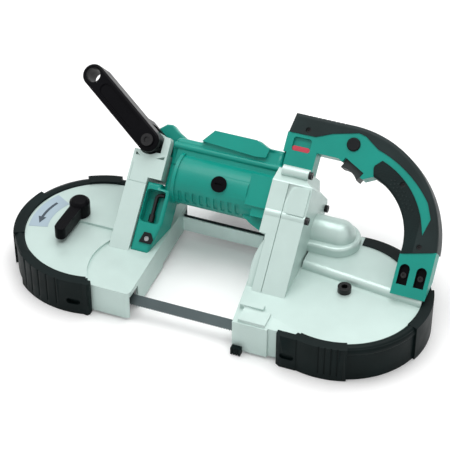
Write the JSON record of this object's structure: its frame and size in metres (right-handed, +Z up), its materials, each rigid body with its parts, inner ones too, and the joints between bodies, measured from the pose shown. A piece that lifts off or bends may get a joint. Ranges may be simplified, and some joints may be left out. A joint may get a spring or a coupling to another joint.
{
  "type": "portable band saw",
  "caption": "Cordless portable band saw lying on its wheel guards, with an open throat, tilted motor and gear column, D-shaped rear handle and tilting front handle.",
  "frame": {"origin": "middle of the overall plan outline, on the floor plane that the rubber bumpers rest on", "axes": "+X from the idler wheel to the drive wheel, -Y towards the open throat, +Z up along the wheel axles"},
  "size_m": [0.514, 0.2748, 0.1953],
  "materials": {
    "silver_paint": "satin paint over cast metal",
    "teal_shell": "satin moulded plastic",
    "black_rubber": "matt moulded rubber",
    "black_plastic": "fine-grained plastic",
    "dark_grey": "fine-grained plastic",
    "red_plastic": "glossy",
    "steel": "machined",
    "blade_steel": "ground",
    "black_steel": "blackened",
    "wheel_alloy": "machined",
    "core_iron": "laminated",
    "tyre_rubber": "matt",
    "lamp_clear": "clear"
  },
  "bodies": {
    "frame": {"idler_housing": "silver_paint", "drive_housing": "silver_paint", "idler_arm": "silver_paint", "gear_plate": "silver_paint", "gear_case": "silver_paint", "gear_dome": "silver_paint", "motor_housing": "teal_shell", "nose_cover": "teal_shell", "handle_shell_front": "teal_shell", "handle_shell_rear": "teal_shell", "idler_bumper": "black_rubber", "drive_bumper": "black_rubber", "stop_shoe": "black_rubber", "handle_back_grip": "black_rubber", "handle_inner_grip": "black_rubber", "brush_caps": "black_plastic", "switch_unit": "black_plastic", "idler_guide": "dark_grey", "drive_guide": "dark_grey", "ball_bearings": "steel", "rear_guard": "steel", "saw_blade": "blade_steel", "drive_axle": "black_steel", "case_screws": "black_steel", "handle_screws": "black_steel", "pivot_bolt": "black_steel", "motor_stator": "core_iron", "led_lens": "lamp_clear"},
    "drive_wheel": {"drive_wheel": "wheel_alloy", "drive_tyre": "tyre_rubber", "drive_gear": "steel", "drive_bearings": "steel"},
    "output": {"output_shaft": "steel", "bevel_gear": "steel"},
    "counter": {"counter_shaft": "steel", "reduction_gear": "steel"},
    "rotor": {"motor_shaft": "steel", "motor_armature": "core_iron", "cooling_fan": "black_plastic"},
    "carriage": {"idler_carriage": "steel", "tension_spring": "steel"},
    "idler_wheel": {"idler_wheel": "wheel_alloy", "idler_tyre": "tyre_rubber", "idler_bearings": "steel"},
    "lever": {"tension_lever": "dark_grey"},
    "trigger": {"trigger": "dark_grey"},
    "lock_button": {"lock_button": "black_plastic"},
    "front_handle": {"front_handle": "black_plastic"},
    "battery_pack": {"battery_pack": "black_plastic"},
    "release_slide": {"release_slide": "red_plastic"},
    "hex_key": {"hex_key": "black_steel"},
    "idler_roller_front": {"idler_guide_roller_front": "steel"},
    "idler_roller_rear": {"idler_guide_roller_rear": "steel"},
    "idler_roller_back": {"idler_guide_roller_back": "steel"},
    "drive_roller_front": {"drive_guide_roller_front": "steel"},
    "drive_roller_rear": {"drive_guide_roller_rear": "steel"},
    "drive_roller_back": {"drive_guide_roller_back": "steel"}
  },
  "joints": [
    {"name": "drive_spin", "type": "hinge", "parent": "frame", "child": "drive_wheel", "pos_m": [0.154, -0.03445, 0.0235], "axis": [0, 0, 1], "continuous": true},
    {"name": "output_spin", "type": "hinge", "parent": "frame", "child": "output", "pos_m": [0.122, 0.03503, 0.044], "axis": [0, 0, 1], "continuous": true},
    {"name": "counter_spin", "type": "hinge", "parent": "frame", "child": "counter", "pos_m": [0.08, 0.03503, 0.06441], "axis": [1, 0, 0], "continuous": true},
    {"name": "rotor_spin", "type": "hinge", "parent": "frame", "child": "rotor", "pos_m": [0, 0.03484, 0.09441], "axis": [1, 0, 0], "continuous": true},
    {"name": "lever_swing", "type": "hinge", "parent": "frame", "child": "lever", "pos_m": [-0.187, -0.01745, 0.054], "axis": [0, 0, 1], "range_deg": [-100, 0]},
    {"name": "carriage_slide", "type": "slide", "parent": "frame", "child": "carriage", "axis": [1, 0, 0], "range_m": [0, 0.005]},
    {"name": "idler_spin", "type": "hinge", "parent": "carriage", "child": "idler_wheel", "pos_m": [-0.16467, -0.03445, 0.0235], "axis": [0, 0, 1], "continuous": true},
    {"name": "idler_roller_front_spin", "type": "hinge", "parent": "frame", "child": "idler_roller_front", "pos_m": [-0.089, -0.11757, 0.02661], "axis": [0, 0.7071, 0.7071], "continuous": true},
    {"name": "idler_roller_rear_spin", "type": "hinge", "parent": "frame", "child": "idler_roller_rear", "pos_m": [-0.089, -0.11134, 0.02039], "axis": [0, 0.7071, 0.7071], "continuous": true},
    {"name": "idler_roller_back_spin", "type": "hinge", "parent": "frame", "child": "idler_roller_back", "pos_m": [-0.099, -0.10657, 0.03138], "axis": [0, -0.7071, 0.7071], "continuous": true},
    {"name": "drive_roller_front_spin", "type": "hinge", "parent": "frame", "child": "drive_roller_front", "pos_m": [0.065, -0.11757, 0.02661], "axis": [0, 0.7071, 0.7071], "continuous": true},
    {"name": "drive_roller_rear_spin", "type": "hinge", "parent": "frame", "child": "drive_roller_rear", "pos_m": [0.065, -0.11134, 0.02039], "axis": [0, 0.7071, 0.7071], "continuous": true},
    {"name": "drive_roller_back_spin", "type": "hinge", "parent": "frame", "child": "drive_roller_back", "pos_m": [0.075, -0.10657, 0.03138], "axis": [0, -0.7071, 0.7071], "continuous": true},
    {"name": "trigger_squeeze", "type": "slide", "parent": "frame", "child": "trigger", "axis": [0.4679, 0.6249, 0.6249], "range_m": [0, 0.005], "stiffness_N_per_m": 600, "springref_m": -0.003},
    {"name": "lock_press", "type": "slide", "parent": "frame", "child": "lock_button", "axis": [0, 0.7071, -0.7071], "range_m": [0, 0.003], "stiffness_N_per_m": 500, "springref_m": -0.002},
    {"name": "front_handle_tilt", "type": "hinge", "parent": "frame", "child": "front_handle", "pos_m": [-0.116, 0.05323, 0.11986], "axis": [0, -0.7071, 0.7071], "range_deg": [-50, 8]},
    {"name": "battery_slide", "type": "slide", "parent": "frame", "child": "battery_pack", "axis": [0, 0.7071, 0.7071], "range_m": [0, 0.06]},
    {"name": "release_push", "type": "slide", "parent": "frame", "child": "release_slide", "axis": [0, 0.7071, 0.7071], "range_m": [0, 0.004], "stiffness_N_per_m": 300, "springref_m": -0.002},
    {"name": "hex_key_pull", "type": "slide", "parent": "frame", "child": "hex_key", "axis": [0, -0.7071, 0.7071], "range_m": [0, 0.03]}
  ],
  "couplings": [
    {"joint": "output_spin", "follows": "drive_spin", "ratio": -5},
    {"joint": "counter_spin", "follows": "drive_spin", "ratio": 15},
    {"joint": "rotor_spin", "follows": "drive_spin", "ratio": -60},
    {"joint": "lever_swing", "follows": "carriage_slide", "rad_per_m": -349.07},
    {"joint": "idler_spin", "follows": "drive_spin", "ratio": 1},
    {"joint": "idler_roller_front_spin", "follows": "drive_spin", "ratio": -20},
    {"joint": "idler_roller_rear_spin", "follows": "drive_spin", "ratio": 20},
    {"joint": "idler_roller_back_spin", "follows": "drive_spin", "ratio": 17.778},
    {"joint": "drive_roller_front_spin", "follows": "drive_spin", "ratio": -20},
    {"joint": "drive_roller_rear_spin", "follows": "drive_spin", "ratio": 20},
    {"joint": "drive_roller_back_spin", "follows": "drive_spin", "ratio": 17.778}
  ]
}
